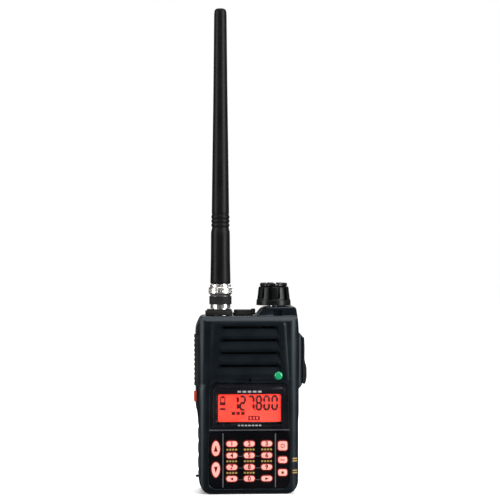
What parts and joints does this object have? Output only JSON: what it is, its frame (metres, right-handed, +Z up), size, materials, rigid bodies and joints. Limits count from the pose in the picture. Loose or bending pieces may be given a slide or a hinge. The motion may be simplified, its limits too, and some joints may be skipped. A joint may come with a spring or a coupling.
{
  "type": "handheld aviation radio",
  "caption": "Handheld airband transceiver with a flexible whip antenna, concentric top knobs, backlit screen, keypad, side talk button, slide-off battery and belt clip.",
  "frame": {"origin": "centre of the bottom face that the radio stands on", "axes": "+Z up along the antenna, front face towards -Y, +X on the right as the keypad is read"},
  "size_m": [0.0711, 0.0417, 0.305],
  "materials": {
    "case_plastic": "fine moulded texture, satin",
    "chassis_metal": "die cast, black painted",
    "seal_rubber": "matt",
    "screw_steel": "zinc plated",
    "window_plastic": "polished, black printed border",
    "screen_glass": "backlit orange-red",
    "circuit_board": "solder mask",
    "speaker_steel": "pressed basket",
    "module_plastic": "moulded",
    "lens_green": "lit, domed",
    "contact_brass": "gold flashed",
    "bezel_gloss": "polished black",
    "membrane_rubber": "matt",
    "key_rubber": "backlit pink, satin",
    "grip_rubber": "ribbed, matt",
    "button_orange": "satin",
    "knob_plastic": "soft satin",
    "shaft_steel": "turned",
    "connector_nickel": "nickel plated",
    "whip_rubber": "satin",
    "core_steel": "drawn",
    "battery_plastic": "fine moulded texture",
    "cell_can": "shrink sleeved",
    "latch_plastic": "glass filled, satin"
  },
  "bodies": {
    "radio": {"front_case": "case_plastic", "rear_chassis": "chassis_metal", "clip_bracket": "chassis_metal", "case_seal": "seal_rubber", "antenna_seal": "seal_rubber", "case_screw_1": "screw_steel", "case_screw_2": "screw_steel", "case_screw_3": "screw_steel", "case_screw_4": "screw_steel", "clip_pin": "screw_steel", "clip_spring": "screw_steel", "display_window": "window_plastic", "lcd_panel": "screen_glass", "control_board": "circuit_board", "main_board": "circuit_board", "side_switches": "circuit_board", "speaker": "speaker_steel", "microphone": "module_plastic", "power_jack": "module_plastic", "headset_jacks": "module_plastic", "led_lens": "lens_green", "terminal_block": "contact_brass", "keypad_bezel": "bezel_gloss", "keypad_membrane": "membrane_rubber", "control_encoder": "shaft_steel", "antenna_jack": "connector_nickel"},
    "dial_control": {"dial_knob": "knob_plastic", "dial_shaft": "shaft_steel"},
    "volume_control": {"volume_knob": "knob_plastic", "volume_shaft": "shaft_steel"},
    "ptt": {"ptt_button": "grip_rubber"},
    "monitor": {"monitor_button": "button_orange"},
    "power_cover": {"power_door": "seal_rubber"},
    "headset_cover": {"jack_cover": "seal_rubber"},
    "battery": {"battery_case": "battery_plastic", "battery_lid": "battery_plastic", "battery_cells": "cell_can"},
    "latch": {"battery_latch": "latch_plastic"},
    "clip": {"belt_clip": "latch_plastic"},
    "antenna": {"antenna_whip": "whip_rubber", "antenna_plug": "connector_nickel", "antenna_core": "core_steel"},
    "collar": {"antenna_collar": "connector_nickel"},
    "key_1": {"key_1": "key_rubber"},
    "key_2": {"key_2": "key_rubber"},
    "key_3": {"key_3": "key_rubber"},
    "key_4": {"key_4": "key_rubber"},
    "key_5": {"key_5": "key_rubber"},
    "key_6": {"key_6": "key_rubber"},
    "key_7": {"key_7": "key_rubber"},
    "key_8": {"key_8": "key_rubber"},
    "key_9": {"key_9": "key_rubber"},
    "key_left": {"key_left": "key_rubber"},
    "key_0": {"key_0": "key_rubber"},
    "key_right": {"key_right": "key_rubber"},
    "key_up": {"key_up": "key_rubber"},
    "key_down": {"key_down": "key_rubber"},
    "key_function": {"key_function": "key_rubber"},
    "key_memory": {"key_memory": "key_rubber"},
    "key_enter": {"key_enter": "key_rubber"}
  },
  "joints": [
    {"name": "dial_turn", "type": "hinge", "parent": "radio", "child": "dial_control", "pos_m": [0.0164, 0, 0.12], "axis": [0, 0, -1], "continuous": true},
    {"name": "volume_turn", "type": "hinge", "parent": "radio", "child": "volume_control", "pos_m": [0.0164, 0, 0.13], "axis": [0, 0, -1], "range_deg": [0, 280]},
    {"name": "ptt_press", "type": "slide", "parent": "radio", "child": "ptt", "axis": [1, 0, 0], "range_m": [0, 0.0012], "stiffness_N_per_m": 1500},
    {"name": "monitor_press", "type": "slide", "parent": "radio", "child": "monitor", "axis": [1, 0, 0], "range_m": [0, 0.001], "stiffness_N_per_m": 1200},
    {"name": "power_cover_open", "type": "hinge", "parent": "radio", "child": "power_cover", "pos_m": [0.0344, 0.0002, 0.083], "axis": [0, 0, 1], "range_deg": [0, 110], "stiffness_Nm_per_rad": 0.004},
    {"name": "headset_cover_open", "type": "hinge", "parent": "radio", "child": "headset_cover", "pos_m": [-0.003, 0.0059, 0.1123], "axis": [-1, 0, 0], "range_deg": [0, 100], "stiffness_Nm_per_rad": 0.004},
    {"name": "battery_slide", "type": "slide", "parent": "radio", "child": "battery", "axis": [0, 0, -1], "range_m": [0, 0.095]},
    {"name": "latch_swing", "type": "hinge", "parent": "battery", "child": "latch", "pos_m": [0, 0.012, 0.0084], "axis": [1, 0, 0], "range_deg": [0, 18], "stiffness_Nm_per_rad": 0.02},
    {"name": "clip_open", "type": "hinge", "parent": "radio", "child": "clip", "pos_m": [0, 0.0186, 0.101], "axis": [1, 0, 0], "range_deg": [0, 14], "stiffness_Nm_per_rad": 0.35, "springref_deg": -17.19, "deforming": ["clip_spring"]},
    {"name": "antenna_lift", "type": "slide", "parent": "radio", "child": "antenna", "axis": [0, 0, 1], "range_m": [0, 0.02]},
    {"name": "collar_turn", "type": "hinge", "parent": "antenna", "child": "collar", "pos_m": [-0.0172, 0.0004, 0.12], "axis": [0, 0, 1], "range_deg": [0, 90]},
    {"name": "key_1_press", "type": "slide", "parent": "radio", "child": "key_1", "axis": [0, 1, 0], "range_m": [0, 0.0008], "stiffness_N_per_m": 600},
    {"name": "key_2_press", "type": "slide", "parent": "radio", "child": "key_2", "axis": [0, 1, 0], "range_m": [0, 0.0008], "stiffness_N_per_m": 600},
    {"name": "key_3_press", "type": "slide", "parent": "radio", "child": "key_3", "axis": [0, 1, 0], "range_m": [0, 0.0008], "stiffness_N_per_m": 600},
    {"name": "key_4_press", "type": "slide", "parent": "radio", "child": "key_4", "axis": [0, 1, 0], "range_m": [0, 0.0008], "stiffness_N_per_m": 600},
    {"name": "key_5_press", "type": "slide", "parent": "radio", "child": "key_5", "axis": [0, 1, 0], "range_m": [0, 0.0008], "stiffness_N_per_m": 600},
    {"name": "key_6_press", "type": "slide", "parent": "radio", "child": "key_6", "axis": [0, 1, 0], "range_m": [0, 0.0008], "stiffness_N_per_m": 600},
    {"name": "key_7_press", "type": "slide", "parent": "radio", "child": "key_7", "axis": [0, 1, 0], "range_m": [0, 0.0008], "stiffness_N_per_m": 600},
    {"name": "key_8_press", "type": "slide", "parent": "radio", "child": "key_8", "axis": [0, 1, 0], "range_m": [0, 0.0008], "stiffness_N_per_m": 600},
    {"name": "key_9_press", "type": "slide", "parent": "radio", "child": "key_9", "axis": [0, 1, 0], "range_m": [0, 0.0008], "stiffness_N_per_m": 600},
    {"name": "key_left_press", "type": "slide", "parent": "radio", "child": "key_left", "axis": [0, 1, 0], "range_m": [0, 0.0008], "stiffness_N_per_m": 600},
    {"name": "key_0_press", "type": "slide", "parent": "radio", "child": "key_0", "axis": [0, 1, 0], "range_m": [0, 0.0008], "stiffness_N_per_m": 600},
    {"name": "key_right_press", "type": "slide", "parent": "radio", "child": "key_right", "axis": [0, 1, 0], "range_m": [0, 0.0008], "stiffness_N_per_m": 600},
    {"name": "key_up_press", "type": "slide", "parent": "radio", "child": "key_up", "axis": [0, 1, 0], "range_m": [0, 0.0008], "stiffness_N_per_m": 600},
    {"name": "key_down_press", "type": "slide", "parent": "radio", "child": "key_down", "axis": [0, 1, 0], "range_m": [0, 0.0008], "stiffness_N_per_m": 600},
    {"name": "key_function_press", "type": "slide", "parent": "radio", "child": "key_function", "axis": [0, 1, 0], "range_m": [0, 0.0008], "stiffness_N_per_m": 600},
    {"name": "key_memory_press", "type": "slide", "parent": "radio", "child": "key_memory", "axis": [0, 1, 0], "range_m": [0, 0.0008], "stiffness_N_per_m": 600},
    {"name": "key_enter_press", "type": "slide", "parent": "radio", "child": "key_enter", "axis": [0, 1, 0], "range_m": [0, 0.0008], "stiffness_N_per_m": 600}
  ]
}
